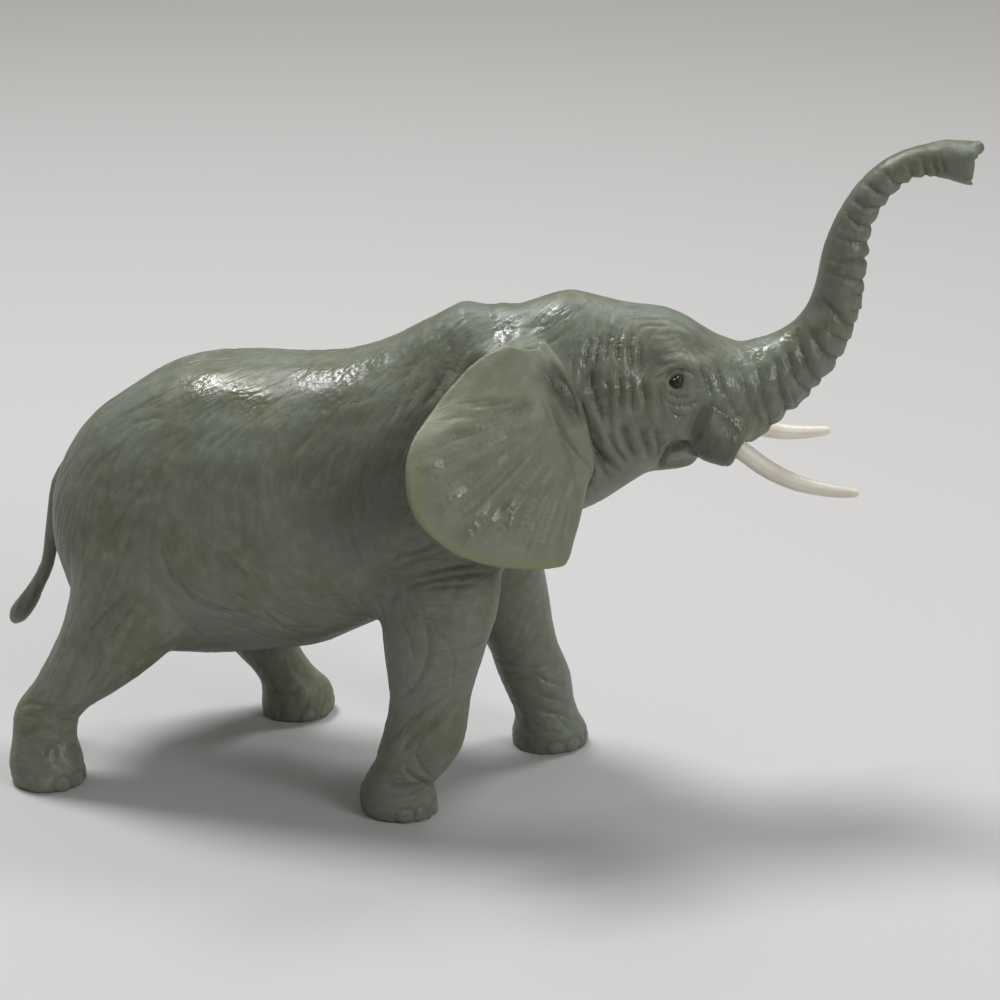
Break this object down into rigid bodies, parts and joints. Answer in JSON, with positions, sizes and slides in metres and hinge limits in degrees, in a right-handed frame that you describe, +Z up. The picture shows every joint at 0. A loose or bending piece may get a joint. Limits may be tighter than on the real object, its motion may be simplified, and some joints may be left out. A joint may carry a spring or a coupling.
{
  "type": "toy wild animal figure",
  "caption": "Soft PVC toy elephant walking with its trunk raised, glued up from hollow body halves, head, ears, tusks, eye beads and tail.",
  "frame": {"origin": "centre of the figure's bounding box, at the height of its soles", "axes": "+X from tail to head, +Y to the animal's left, +Z up"},
  "size_m": [0.196, 0.0678, 0.1339],
  "materials": {
    "grey_pvc": "soft PVC, satin, with shinier patches",
    "ivory_pvc": "soft PVC, satin",
    "black_paint": "glossy paint"
  },
  "bodies": {
    "root": {"body_left_half": "grey_pvc", "body_right_half": "grey_pvc", "head_and_trunk": "grey_pvc", "left_ear": "grey_pvc", "right_ear": "grey_pvc", "left_tusk": "ivory_pvc", "right_tusk": "ivory_pvc", "left_eye": "black_paint", "right_eye": "black_paint", "tail": "grey_pvc"}
  },
  "joints": []
}
